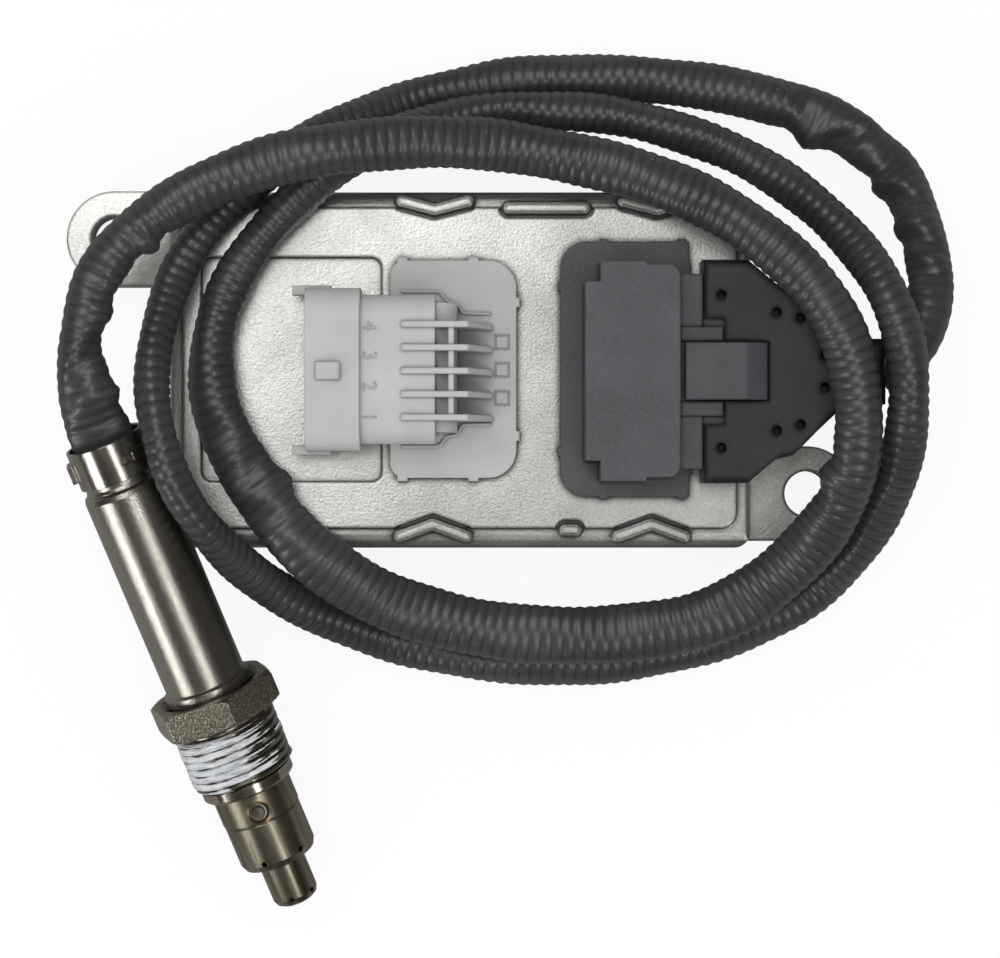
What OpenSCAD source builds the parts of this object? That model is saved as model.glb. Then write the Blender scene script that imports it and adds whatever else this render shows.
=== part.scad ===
/* [Control unit housing] */
// Length of the die-cast housing, without its fixing ears
body_l = 110; // [100:1:130]
// Width of the die-cast housing
body_w = 67.5; // [62:0.5:80]
// Height of the housing's top face above the mounting plane
body_h = 16; // [14:0.5:24]
// Corner radius of the housing
body_r = 3; // [1:0.5:8]
// Thickness of the cast walls
wall = 2.2; // [1.6:0.1:3]
// Thickness of the cast roof
roof = 2.6; // [2:0.1:4]
// Height of the lower band that runs round the top face
rim_drop = 1.4; // [0.6:0.1:2.5]
// Width of that band at the two ends
rim_end = 2.7; // [1.5:0.1:5]
// Width of that band along the two sides
rim_side = 3.5; // [2:0.1:5]
// Depth of the flat recess beside the vehicle connector
recess_depth = 0.8; // [0.3:0.1:1.2]

/* [Fixing ears] */
// Half the distance between the two fixing holes, along the housing
ear_x = 66.6; // [66:0.1:75]
// Half the distance between the two fixing holes, across the housing
ear_y = 24.5; // [18:0.5:26]
// Outer radius of an ear
ear_r = 9.1; // [7.5:0.1:11]
// Thickness of an ear
ear_h = 6; // [4:0.5:9]
// Radius of a fixing hole, for an M8 screw
ear_hole_r = 4.3; // [2.6:0.1:4.6]

/* [Base plate and circuit board] */
// Thickness of the base plate
plate_t = 1.8; // [1.2:0.1:2.2]
// Width of the ledge that the base plate closes against
ledge = 1.6; // [1:0.1:2.4]
// Thickness of the seal on the ledge
seal_t = 0.6; // [0.4:0.1:1]
// Thickness of the circuit board
board_t = 1.6; // [1:0.1:2]
// Gap between the circuit board and the cast roof
board_gap = 3.8; // [3:0.1:4.5]
// Radius of a board screw's shank
screw_r = 1.25; // [1:0.05:1.5]

/* [Vehicle connector] */
// Width of the connector's collar
collar_w = 30.2; // [29:0.1:34]
// Height of the connector's collar
collar_h = 14.6; // [13.8:0.1:16]
// Length of the collar along its axis
collar_l = 11.2; // [8:0.1:12]
// Width of the connector's body behind the collar
stem_w = 27.7; // [26:0.1:28.4]
// Height of the connector's body behind the collar
stem_h = 13; // [12:0.1:13.2]
// Wall of the collar and body
shell_t = 1.4; // [1:0.1:1.8]
// Distance between neighbouring contact pins
pin_pitch = 5.6; // [4:0.1:6]
// Width of a contact pin
pin_w = 1.5; // [0.6:0.1:2]
// Thickness of a contact pin
pin_t = 0.8; // [0.6:0.1:1]
// Thickness of the connector's flange
grey_flange_t = 1.8; // [1.2:0.1:2.4]

/* [Sensor header and plug] */
// Width of the header block across the housing
block_w = 40.8; // [38:0.1:44]
// Height of the header block above the top face
block_h = 12.6; // [12:0.1:15]
// Length of the header block
block_l = 17.6; // [15:0.1:18]
// Thickness of the header's flange
black_flange_t = 2; // [1.2:0.1:2.6]
// Height of the plug's body
plug_h = 9.6; // [8:0.1:10.5]
// Reach of the plug from the header block to its cable outlet
plug_l = 38.3; // [36:0.1:42]
// Clearance round the plug's nose in the header
nose_gap = 0.3; // [0.2:0.05:0.5]
// Radius of the sunk holes in the plug's cover
cover_hole_r = 0.95; // [0.5:0.05:1.2]

/* [Sensor cable] */
// Outer diameter of the corrugated cable sleeve
cable_d = 8.8; // [6:0.1:9]
// Radius of the sleeve where it is drawn over the probe's end
sleeve_end_r = 6.5; // [5:0.1:6.6]

/* [Probe shell] */
// Outer radius of the probe's shell
shell_r = 7.8; // [7.4:0.05:8.2]
// Wall of the shell
shell_wall = 0.6; // [0.4:0.05:0.8]
// Length of the shell below its neck
shell_l = 41.2; // [38:0.1:50]
// Outer radius of the crimp ring
crimp_r = 7.45; // [7.2:0.05:8]
// Wall of the crimp ring
crimp_wall = 0.6; // [0.4:0.05:0.6]
// Length of the crimp ring
crimp_l = 7.4; // [6:0.1:10]

/* [Probe fitting] */
// Distance across the flats of the nut
nut_af = 22; // [21.6:0.1:24]
// Height of the nut's hexagon
hex_h = 5.8; // [5:0.1:9]
// Radius of the nut's thread, M20
thread_r = 10; // [9.6:0.1:10.4]
// Length of the threaded stretch
thread_l = 10.6; // [7:0.1:12]
// Radius of the probe's core inside the nut
core_r = 8; // [7.9:0.05:8.3]
// Running clearance between core and nut
run_gap = 0.06; // [0.03:0.01:0.1]
// Radius of the sealing flange below the nut
flange_r = 9.05; // [8.6:0.05:9.4]

/* [Protection tubes] */
// Outer radius of the outer protection tube
outer_r = 7.65; // [7.2:0.05:8]
// Length of the outer protection tube
outer_l = 16; // [13:0.1:20]
// Outer radius of the inner protection tube
inner_r = 4.45; // [4:0.05:5]
// Length of the inner tube that shows below the outer one
inner_l = 9.1; // [6:0.1:12]
// Wall of the protection tubes
tube_wall = 0.5; // [0.4:0.05:0.7]
// Radius of a gas hole
gas_r = 0.55; // [0.4:0.05:0.8]
// Width of the ceramic sensing element
element_w = 4.2; // [3:0.1:4.6]
// Thickness of the ceramic sensing element
element_t = 1.5; // [1:0.1:2]

/* [Hidden] */
$fn = 64;
eps = 0.01;

// The housing's centre lies 1 mm below the line between its fixing holes
body_y = -1;
top_z = body_h;
cavity_l = body_l - 2 * wall;
cavity_w = body_w - 2 * wall;
cavity_r = max(0.5, body_r - wall);
roof_z = body_h - roof;
ledge_z = plate_t + seal_t;
fit_gap = 0.1;

// Cast bars along the two long edges: the points of their centrelines
side_edge = body_w / 2;
bar_r = 1.3;
bar_rise = 0.15;
bar_h = 2;
pan_gap = 0.65;
pan_depth = 0.9;
cast_bars = [
    for (x = [-4.7, 37.2]) [[x - 6.2, side_edge - 1.9], [x, side_edge - 3.5], [x + 6.2, side_edge - 1.9]],
    for (x = [-5.1, 36.2]) [[x - 6.3, 2.2 - side_edge], [x, 4.5 - side_edge], [x + 6.3, 2.2 - side_edge]],
    [[9.3, side_edge - 3.2], [23.5, side_edge - 3.2]],
    [[19.9, 3.4 - side_edge], [21.9, 3.4 - side_edge]]
];

// Circuit board, hung from cast bosses below the roof
board_top = roof_z - board_gap;
board_z = board_top - board_t;
board_l = cavity_l - 2 * ledge - 4;
board_w = cavity_w - 2 * ledge - 4;
boss_x = board_l / 2 - 4;
boss_y = board_w / 2 - 4;
boss_r = 3;
screw_head_r = 2.4;
screw_head_h = 1.5;

// Vehicle connector: it faces the housing's left end
grey_x = -17.3;
grey_y = body_y - 0.35;
collar_end = grey_x - 1;
grey_flange_l = 23.8;
grey_flange_w = 41;
grey_back = -4.4;
grey_axis_z = top_z + 0.9 + collar_h / 2;
socket_w = stem_w - 2 * shell_t;
socket_h = stem_h - 2 * shell_t;
socket_back = grey_x + 2;
grey_pin_x = grey_back + 2.2;
pin_reach = collar_l - 2;
rib_t = 1.1;
rib_pitch = 4.3;
rib_count = 5;
grey_window_x = grey_x + 13.1;
grey_window_l = 12;
grey_window_w = 30;

// Sensor header: it faces the housing's right end
black_x = 23.4;
black_flange_l = 24.6;
black_flange_w = 48;
mouth_x = black_x + block_l;
head_y = body_y - 0.7;
header_wall = 2;
nose_z = top_z + black_flange_t + 1;
nose_h = block_h - black_flange_t - 1 - header_wall;
nose_w = block_w - 2 * header_wall;
nose_back = black_x + 6;
black_window_x = black_x + 5.6;
black_window_l = 11;
black_window_w = 36;
header_rows = 2;
header_cols = 4;
header_pitch = 8;
header_pin = 1;

// Plug, with its cable outlet at the far end
plug_z = top_z + 1.3;
plug_x = mouth_x + 4.2;
outlet_x = mouth_x + plug_l;
latch_x = mouth_x + 1;
latch_l = 15.2;
outlet_z = plug_z + plug_h / 2 - 0.2;
outlet_depth = 1.6;
cover_t = 1.6;
hole_depth = 4;

// Probe axis: the shell leans on the housing's corner and the outer tube's end stands on the floor
u_crimp = crimp_l;
u_shell = u_crimp + 1.4;
u_hex = u_shell + shell_l + 1.8;
flare_h = 2.1;
u_neck = u_hex + hex_h;
neck_l = 1.5;
u_thread_end = u_neck + neck_l + thread_l;
end_play = 0.3;
u_flange = u_thread_end + end_play;
flange_t = 2.2;
u_tubes = u_flange + flange_t;
u_outer_end = u_tubes + outer_l;
u_tip = u_outer_end + inner_l;
hex_r = nut_af / 2 / cos(30);
floor_gap = 0.02;
lean_gap = 0.4;
u_lean = u_shell + 14;
tilt = asin((body_h - rim_drop + shell_r + lean_gap - outer_r) / (u_outer_end - u_lean));
probe_turn = 21.4;
probe_x = -65.8;
probe_y = -14.3;
probe_z = (outer_r + floor_gap) * cos(tilt) + u_outer_end * sin(tilt);
neck_r = crimp_r - crimp_wall - 0.1;
neck_bore = neck_r - shell_wall;
shell_bore = shell_r - shell_wall;
flare_r = shell_r + 0.75;
body_bore = core_r - 2;
sleeve_in = 3;
u_holder = u_shell + 7;

// Centreline of the cable, from the plug's outlet to the probe
route = [
    [78.5, -1.5, 21.9], [84.5, 3, 22], [88, 10, 20.5], [88.5, 18.5, 17], [87, 28, 12], [82, 38.5, 7],
    [70, 47.5, 4.5], [52, 53, 4.5], [31, 55.5, 4.5], [10, 55, 4.5], [-9, 51, 5], [-25, 44, 12],
    [-37, 36, 18.5], [-47, 26, 21], [-54, 13, 24.5], [-56.5, -2, 30.5], [-54.5, -15, 33.5],
    [-49, -28, 31], [-36, -42, 15.5], [-17, -51.5, 4.5], [6, -56.5, 4.5], [30, -56.5, 4.5],
    [52, -51.5, 4.5], [70, -41, 8], [80.5, -25, 19], [83, -8, 30.5], [80.5, 9, 30.5], [71.5, 25, 21.5],
    [54.5, 39, 13], [34, 46.5, 11.5], [13, 48.5, 11.5], [-5, 46, 13], [-22, 37.5, 21], [-36, 25, 21],
    [-45, 10, 21], [-46, -6, 21], [-40, -20, 21], [-28.5, -35, 20], [-11, -46, 14.5], [12, -51, 12.5],
    [36, -50.5, 13], [54, -44.5, 15], [68, -31, 22], [73.5, -15.5, 30.5], [72, 1, 32], [65, 14, 32],
    [52, 26, 28], [34, 35, 22.5], [13, 40, 20.5], [-6, 41, 25.5], [-24, 39, 30], [-40, 35, 31],
    [-55, 27.5, 31], [-65.5, 17, 31], [-69.5, 5, 30.8], [-68.8, -5, 30.6]
];

// Rectangle with round corners
module slab(l, w, r, h) {
    linear_extrude(h) {
        square([l - 2 * r, w], center = true);
        square([l, w - 2 * r], center = true);
        for (sx = [-1, 1], sy = [-1, 1])
            translate([sx * (l / 2 - r), sy * (w / 2 - r)]) circle(r);
    }
}

// Flat bar with round ends, from one point to another
module bar(a, b, r, h) {
    d = b - a;
    translate([a[0], a[1], 0]) rotate([0, 0, atan2(d[1], d[0])]) linear_extrude(h) {
        translate([0, -r]) square([norm(d), 2 * r]);
        circle(r);
        translate([norm(d), 0]) circle(r);
    }
}

// Bar with its back drawn in by steps, from one point to another
module crown(a, b, r) {
    bar(a, b, r, bar_h - 0.5);
    bar(a, b, r * 0.8, bar_h - 0.2);
    bar(a, b, r * 0.45, bar_h);
}

// Ear with its hole, on the side that the sign gives
module ear(side) {
    difference() {
        union() {
            translate([side * ear_x, -side * ear_y, 0]) cylinder(r = ear_r, h = ear_h);
            translate([side * (ear_x + body_l / 2 - wall) / 2, -side * ear_y, ear_h / 2])
                cube([ear_x - body_l / 2 + wall, 2 * ear_r, ear_h], center = true);
        }
        translate([side * ear_x, -side * ear_y, -eps]) cylinder(r = ear_hole_r, h = ear_h + 2);
        translate([side * ear_x, -side * ear_y, ear_h - 0.3])
            cylinder(r1 = ear_hole_r, r2 = ear_hole_r + 1, h = 1);
    }
}

// Die-cast aluminium housing, open below
module housing() {
    color([0.78, 0.78, 0.76]) {
        difference() {
            union() {
                difference() {
                    union() {
                        translate([0, body_y, 0]) slab(body_l, body_w, body_r, body_h - rim_drop);
                        translate([0, body_y + 0.3, 0])
                            slab(body_l - 2 * rim_end, body_w - 2 * rim_side, body_r, body_h);
                    }
                    bar_pans();
                    band_rounding();
                }
                for (side = [-1, 1]) ear(side);
                cast_bar_crowns();
            }
            translate([0, body_y, -eps])
                slab(cavity_l - 2 * ledge, cavity_w - 2 * ledge, cavity_r, roof_z + eps);
            translate([0, body_y, -eps]) slab(cavity_l, cavity_w, cavity_r, ledge_z + eps);
            translate([-31.8, body_y, body_h - recess_depth]) slab(34.2, 42.5, 2, 2);
            window(grey_window_x, grey_window_l, grey_window_w);
            window(black_window_x, black_window_l, black_window_w);
        }
        for (sx = [-1, 1], sy = [-1, 1]) translate([sx * boss_x, body_y + sy * boss_y, board_top])
            difference() {
                cylinder(r = boss_r, h = board_gap + 0.5);
                translate([0, 0, -eps]) cylinder(r = screw_r + 0.05, h = board_gap - 0.4);
            }
    }
}

// Opening in the roof for a connector's foot
module window(x, l, w) {
    translate([x, body_y, roof_z - 1]) slab(l, w, 2, roof + 2);
    translate([x, body_y, top_z - seal_t]) difference() {
        slab(l + 5, w + 4, 2, seal_t + 1);
        translate([0, 0, -eps]) slab(l + 2, w + 1.6, 2, seal_t + 2);
    }
}

// Shallow pans in the top face, with a bar in each
module bar_pans() {
    translate([0, body_y, body_h - pan_depth]) for (points = cast_bars, i = [0:len(points) - 2])
        bar(points[i], points[i + 1], bar_r + pan_gap, pan_depth + 1);
}

module cast_bar_crowns() {
    translate([0, body_y, body_h + bar_rise - bar_h]) for (points = cast_bars, i = [0:len(points) - 2])
        crown(points[i], points[i + 1], bar_r);
}

// Cuts that round the band's outer edge: broad along the two sides, narrow at the two ends
module band_rounding() {
    band_z = body_h - rim_drop;
    for (turn = [0, 180]) translate([0, body_y, 0]) rotate([0, 0, turn]) {
        translate([-body_l / 2 - 1, 0, 0]) rotate([90, 0, 90]) linear_extrude(body_l + 2)
            polygon([[side_edge + 1, band_z - 2], [side_edge + 0.01, band_z - 1.7], [side_edge - 0.5, band_z - 0.8],
                [side_edge - 1.4, band_z - 0.25], [side_edge - 2.6, band_z + 0.01], [side_edge + 1, band_z + 0.2]]);
        translate([0, body_w / 2 + 1, 0]) rotate([90, 0, 0]) linear_extrude(body_w + 2)
            polygon([[body_l / 2 + 1, band_z - 1.1], [body_l / 2 + 0.01, band_z - 0.9],
                [body_l / 2 - 0.4, band_z - 0.25], [body_l / 2 - 1, band_z + 0.01], [body_l / 2 + 1, band_z + 0.2]]);
    }
}

// Aluminium plate that closes the housing below
module base_plate() {
    color([0.7, 0.71, 0.71])
        translate([0, body_y, 0])
            slab(cavity_l - 2 * fit_gap, cavity_w - 2 * fit_gap, cavity_r, plate_t);
}

// Silicone bead between the base plate and the ledge
module housing_seal() {
    color([0.25, 0.27, 0.3])
        translate([0, body_y, plate_t])
            difference() {
                slab(cavity_l - 2 * fit_gap, cavity_w - 2 * fit_gap, cavity_r, seal_t);
                translate([0, 0, -eps])
                    slab(cavity_l - 2 * ledge, cavity_w - 2 * ledge, cavity_r, seal_t + 1);
            }
}

// Circuit board, drilled for its screws and for the pins of both connectors
module circuit_board() {
    color([0.1, 0.36, 0.2])
        difference() {
            translate([0, body_y, board_z]) slab(board_l, board_w, 1, board_t);
            for (sx = [-1, 1], sy = [-1, 1])
                translate([sx * boss_x, body_y + sy * boss_y, board_z - eps])
                    cylinder(r = screw_r + fit_gap, h = board_t + 1);
            for (i = [0:3]) translate([grey_pin_x, grey_pin_y(i), board_z + board_t / 2])
                cube([pin_t + 2 * fit_gap, pin_w + 2 * fit_gap, board_t + 1], center = true);
            for (i = [0:header_cols - 1], row = [0:header_rows - 1])
                translate([header_leg_x(row), header_pin_y(i), board_z + board_t / 2])
                    cube([header_pin + 2 * fit_gap, header_pin + 2 * fit_gap, board_t + 1], center = true);
        }
}

// Four screws that hold the board to its bosses
module board_screws() {
    color([0.62, 0.6, 0.52])
        for (sx = [-1, 1], sy = [-1, 1])
            translate([sx * boss_x, body_y + sy * boss_y, board_z]) {
                translate([0, 0, -screw_head_h]) difference() {
                    cylinder(r = screw_head_r, h = screw_head_h);
                    translate([0, 0, -eps]) cylinder(r = screw_head_r * 0.4, h = 0.8, $fn = 6);
                }
                cylinder(r = screw_r, h = board_t + board_gap - 1);
            }
}

// Row of gull-wing legs along one side of a chip
module chip(l, w, h, legs) {
    translate([-l / 2, -w / 2, 0.3]) cube([l, w, h]);
    pitch = (w - 2) / (legs - 1);
    for (i = [0:legs - 1], side = [-1, 1])
        translate([side * (l / 2 + 0.5), -w / 2 + 1 + i * pitch, 0.3])
            cube([1.2, 0.4, 0.6], center = true);
}

// Main processor on the board's upper side
module microcontroller() {
    color([0.13, 0.13, 0.14]) translate([10, body_y + 8, board_top]) chip(12, 12, 1.4, 10);
}

// Heater and pump driver on the board's upper side
module driver_chip() {
    color([0.15, 0.15, 0.16]) translate([10, body_y - 12, board_top]) chip(8, 10, 1.8, 6);
}

// Three electrolytic capacitors below the board
module capacitors() {
    can_h = board_z - ledge_z - 0.5;
    color([0.7, 0.72, 0.75])
        for (i = [0:2]) translate([11.2 - board_l / 2 + 10 * i, body_y - 16, board_z - can_h]) cylinder(r = 3, h = can_h);
}

// Places of the connector pins across the housing
function grey_pin_y(i) = body_y + (i - 1.5) * pin_pitch;
function header_pin_y(i) = body_y + (i - (header_cols - 1) / 2) * header_pitch;
function header_pin_z(row) = nose_z + nose_h / 2 + (row - 0.5) * 3;
function header_leg_x(row) = nose_back - 1.6 - row * 2.2;

// Grey vehicle connector: flange, body, collar, ribs and lock tab in one moulding
module vehicle_connector() {
    color([0.66, 0.66, 0.65])
        difference() {
            union() {
                grey_flange();
                grey_body(collar_end, grey_back - collar_end, stem_w, stem_h, 4.5);
                grey_body(grey_x - collar_l, collar_end - grey_x + collar_l, collar_w, collar_h, 5);
                translate([grey_x, body_y, top_z]) grey_plinth();
                grey_ribs();
                for (side = [-1, 1]) translate([grey_x - collar_l - 2.7, grey_y + side * (collar_w / 2 - 0.2) - 0.9,
                    grey_axis_z - 4]) cube([7.2, 1.8, 3]);
                lock_tab();
            }
            translate([grey_x - collar_l - 5, grey_y, grey_axis_z]) rotate([0, 90, 0])
                slab(collar_h - 2 * shell_t, collar_w - 2 * shell_t, 3.6, collar_l + 2);
            translate([socket_back - 6, grey_y, grey_axis_z]) rotate([0, 90, 0])
                slab(socket_h, socket_w, 3.1, 6);
            vehicle_pin_shapes(0);
        }
}

// Round-cornered body of the connector, lying along its axis
module grey_body(x, l, w, h, r) {
    translate([x, grey_y, grey_axis_z]) rotate([0, 90, 0]) slab(h, w, r, l);
}

// Flange on the housing's top face, rounded towards the housing's middle
module grey_flange() {
    mid = grey_x + 4.2 + grey_flange_l / 2;
    translate([mid, body_y, top_z]) {
        slab(grey_flange_l, grey_flange_w, 5.3, grey_flange_t);
        translate([6 - grey_flange_l / 2, 0, 0]) slab(12, grey_flange_w, 2.8, grey_flange_t);
        for (side = [-1, 1]) {
            for (x = [-9.6, 3.8]) translate([x, side * grey_flange_w / 2, grey_flange_t / 2])
                cube([1.9, 1.2, grey_flange_t], center = true);
            translate([grey_flange_l / 2, side * 12.6, grey_flange_t / 2]) cube([1.2, 1.8, grey_flange_t], center = true);
        }
    }
    translate([grey_window_x, body_y, roof_z - 0.4])
        slab(grey_window_l - 2 * fit_gap, grey_window_w - 2 * fit_gap, 2 - fit_gap, roof + 1);
}

// Block that joins the connector's body to its flange, and the round lump over the pin bends
module grey_plinth() {
    length = grey_back - grey_x;
    translate([3.4, -stem_w / 2 + 1, grey_flange_t - eps])
        cube([length - 3.4, stem_w - 2, grey_axis_z - top_z - grey_flange_t]);
    translate([length, 0, 0]) {
        translate([-1, -12, grey_flange_t - eps]) cube([5, 24, 6]);
        translate([0, 0, 7.6]) rotate([90, 0, 0]) cylinder(r = 4, h = 24, center = true);
    }
}

// Five thin ribs over the body's back, with the bar that crosses them
module grey_ribs() {
    rib_top = grey_axis_z + stem_h / 2 + 0.7 - top_z;
    for (i = [0:rib_count - 1])
        translate([0, grey_y - 0.4 + (i - (rib_count - 1) / 2) * rib_pitch + rib_t / 2, top_z])
            rotate([90, 0, 0]) linear_extrude(rib_t) polygon([
                [grey_x + 6.6, grey_flange_t + 2], [grey_x + 6.6, rib_top - 0.4], [grey_x + 7.2, rib_top],
                [grey_x + 19, rib_top], [grey_x + 23.4, grey_flange_t + 2.2], [grey_x + 23.4, grey_flange_t - 0.5]
            ]);
    translate([grey_x + 15.4, grey_y - 0.4 - 2 * rib_pitch, top_z + rib_top - 2.6])
        cube([1, 4 * rib_pitch, 2.2]);
}

// Small wedge on the collar that locks the mating connector
module lock_tab() {
    translate([grey_x - 9.4, grey_y - 0.4 + 1.6, grey_axis_z + collar_h / 2 - 0.5]) rotate([90, 0, 0])
        linear_extrude(3.2) polygon([[0, 0], [0.4, 1.1], [2.4, 1.5], [4.4, 2.1], [4.8, 1.7], [4.8, 0]]);
}

// Angled contact pins: a blade in the socket and a leg down to the board
module vehicle_pin_shapes(grow) {
    for (i = [0:3]) translate([0, grey_pin_y(i), 0]) {
        translate([grey_pin_x - pin_t / 2 - grow, -pin_w / 2 - grow, board_z - 1])
            cube([pin_t + 2 * grow, pin_w + 2 * grow, grey_axis_z + pin_t / 2 - board_z + 1]);
        translate([grey_x - pin_reach, -pin_w / 2 - grow, grey_axis_z - pin_t / 2 - grow])
            cube([grey_pin_x - grey_x + pin_reach + pin_t / 2, pin_w + 2 * grow, pin_t + 2 * grow]);
    }
}

module vehicle_pins() {
    color([0.85, 0.8, 0.62]) vehicle_pin_shapes(0);
}

// Rubber ring in its groove round a window, under the connector's flange
module window_seal(x, l, w) {
    color([0.2, 0.2, 0.22]) translate([x, body_y, top_z - seal_t]) difference() {
        slab(l + 5, w + 4, 2, seal_t);
        translate([0, 0, -eps]) slab(l + 2, w + 1.6, 2, seal_t + 1);
    }
}

module connector_seal() {
    window_seal(grey_window_x, grey_window_l, grey_window_w);
}

module header_seal() {
    window_seal(black_window_x, black_window_l, black_window_w);
}

// Black header: flange and hollow block, open towards the plug
module sensor_header() {
    color([0.22, 0.22, 0.23])
        difference() {
            union() {
                black_flange();
                black_block();
            }
            translate([nose_back, head_y - nose_w / 2, nose_z]) cube([block_l, nose_w, nose_h]);
            header_pin_shapes(0);
        }
}

// Flange, rounded towards the housing's middle
module black_flange() {
    mid = black_x - 4.4 + black_flange_l / 2;
    translate([mid, body_y, top_z]) {
        slab(black_flange_l, black_flange_w, 4.9, black_flange_t);
        translate([black_flange_l / 2 - 8, -black_flange_w / 2, 0]) cube([7.6, black_flange_w, black_flange_t]);
        for (side = [-1, 1]) {
            for (x = [-4.2, 10.6]) translate([x, side * black_flange_w / 2, black_flange_t / 2])
                cube([1.6, 1, black_flange_t], center = true);
            translate([-black_flange_l / 2, side * 15.6, black_flange_t / 2]) cube([1, 1.6, black_flange_t], center = true);
        }
    }
    translate([black_window_x, body_y, roof_z - 0.4])
        slab(black_window_l - 2 * fit_gap, black_window_w - 2 * fit_gap, 2 - fit_gap, roof + 1);
}

// Block with its stepped corners
module black_block() {
    z = top_z + black_flange_t - eps;
    h = block_h - black_flange_t + eps;
    step = 2.8;
    translate([black_x, head_y - block_w / 2 + 3.8, z]) cube([step + 1, block_w - 7.6, h]);
    translate([black_x + step + (block_l - step) / 2, head_y, z]) slab(block_l - step, block_w - 1.4, 2.3, h);
    translate([black_x + step, head_y - block_w / 2, z]) cube([8.5, block_w, h]);
}

// Header pins: two rows of four, each with a leg down to the board
module header_pin_shapes(grow) {
    side = header_pin + 2 * grow;
    for (i = [0:header_cols - 1], row = [0:header_rows - 1]) translate([0, header_pin_y(i) - side / 2, 0]) {
        translate([header_leg_x(row) - side / 2, 0, board_z - 1])
            cube([side, side, header_pin_z(row) + header_pin / 2 + grow - board_z + 1]);
        translate([header_leg_x(row) - side / 2, 0, header_pin_z(row) - side / 2])
            cube([nose_back + 6 - header_leg_x(row) + side / 2, side, side]);
    }
}

module header_pins() {
    color([0.8, 0.76, 0.6]) header_pin_shapes(0);
}

// Plug body: nose in the header, arms, latch finger and the shell round the cable
module plug_body() {
    color([0.2, 0.2, 0.21])
        difference() {
            union() {
                translate([nose_back + 0.4, head_y - nose_w / 2 + nose_gap, nose_z + nose_gap])
                    cube([plug_x - nose_back - 0.4, nose_w - 2 * nose_gap, nose_h - 2 * nose_gap]);
                translate([0, 0, plug_z]) linear_extrude(plug_h - cover_t) plug_outline(0);
                for (side = [-1, 1]) translate([mouth_x, head_y + side * 6.95 - 1.3, plug_z + 4])
                    cube([8, 2.6, plug_h - 4.2]);
                latch();
            }
            header_pin_shapes(nose_gap / 2);
            translate([outlet_x - 13, body_y, outlet_z]) rotate([0, 90, 0]) cylinder(r = 3.4, h = 20);
            cable_pocket();
            cover_holes();
        }
}

// Deep holes through the cover into the body
module cover_holes() {
    for (p = [[3.5, 14.2], [13.8, 11], [18.2, 9.9], [22.8, 3]], side = [-1, 1])
        translate([plug_x + p[0], head_y + side * p[1], plug_z + plug_h - hole_depth])
            cylinder(r = cover_hole_r, h = hole_depth + 1);
}

// Pocket that takes the sleeve's end in the plug's outlet
module cable_pocket() {
    translate([outlet_x - outlet_depth, body_y, outlet_z]) rotate([0, 90, 0])
        cylinder(r = cable_d / 2 + fit_gap, h = outlet_depth + 1);
}

// Outline of the plug: square shoulders at the front, drawn in to the cable outlet
module plug_outline(inset) {
    half = 20.8 - inset;
    front = plug_x + inset;
    edge = [[front, half], [front + 8.4, half], [front + 13.6, half - 4.4], [front + 16.8, half - 5.2],
        [front + 19.6, half - 8], [outlet_x - 9, 7.6 - inset], [outlet_x - 4.2, 6.1 - inset],
        [outlet_x - inset, 6.1 - inset]];
    translate([0, head_y]) polygon(concat(edge,
        [for (i = [len(edge) - 1:-1:0]) [edge[i][0], -edge[i][1]]]));
}

// Flexing latch finger on top of the plug, with its sloped thumb end
module latch() {
    z = top_z + block_h - 2.4;
    translate([latch_x, head_y + 5.3, 0]) rotate([90, 0, 0]) linear_extrude(10.6) polygon([
        [0, z], [0, z + 2.6], [latch_l - 4, z + 2.6], [latch_l, z + 0.8], [latch_l, plug_z + plug_h - 2], [4, plug_z + plug_h - 2]
    ]);
}

// Cover of the plug, with its sunk holes
module plug_cover() {
    color([0.19, 0.19, 0.2]) difference() {
        translate([0, 0, plug_z + plug_h - cover_t]) {
            linear_extrude(cover_t / 2) plug_outline(0.3);
            linear_extrude(cover_t * 0.8) plug_outline(0.5);
            linear_extrude(cover_t) plug_outline(0.9);
        }
        translate([plug_x - 1, head_y - 9.9, plug_z]) cube([5.2, 19.8, plug_h + 1]);
        translate([plug_x - 1, head_y - 5.5, plug_z]) cube([latch_x + latch_l + 1.4 - plug_x, 11, plug_h + 1]);
        cover_holes();
        cable_pocket();
    }
}

// Points between the route's own, on one smooth curve
function bend(a, b, c, d, t) = 0.5 * (2 * b + (c - a) * t + (2 * a - 5 * b + 4 * c - d) * t * t
    + (3 * b - a - 3 * c + d) * t * t * t);
probe_axis = [cos(tilt) * sin(probe_turn), -cos(tilt) * cos(probe_turn), -sin(tilt)];
probe_start = [probe_x, probe_y, probe_z];
cable_start = [outlet_x - outlet_depth + 0.2, body_y - 0.4, outlet_z];
cable_lead = [cos(28), sin(28), 0];
path = concat([cable_start], [for (i = [1:len(route) - 1]) route[i]],
    [probe_start - probe_axis * 3, probe_start + probe_axis * sleeve_in]);
last = len(path) - 1;
function at(i) = i < 0 ? 2 * path[0] - path[1] : i > last ? 2 * path[last] - path[last - 1] : path[i];
rings = concat([path[0], bend(at(-1), at(0), at(1), at(2), 0.5)],
    [for (i = [1:last - 2]) each [path[i], if (i % 3 == 1) bend(at(i - 1), at(i), at(i + 1), at(i + 2), 0.5)]],
    [path[last - 1], path[last]]);
ring_n = len(rings);
sides = 10;
function ring_r(i) = i < ring_n - 3 ? cable_d / 2 : i == ring_n - 3 ? cable_d / 2 + 0.6 : sleeve_end_r;
function ring_dir(i) = i == 0 ? cable_lead : i >= ring_n - 2 ? probe_axis : rings[i + 1] - rings[i - 1];
function unit(v) = v / norm(v);

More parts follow.
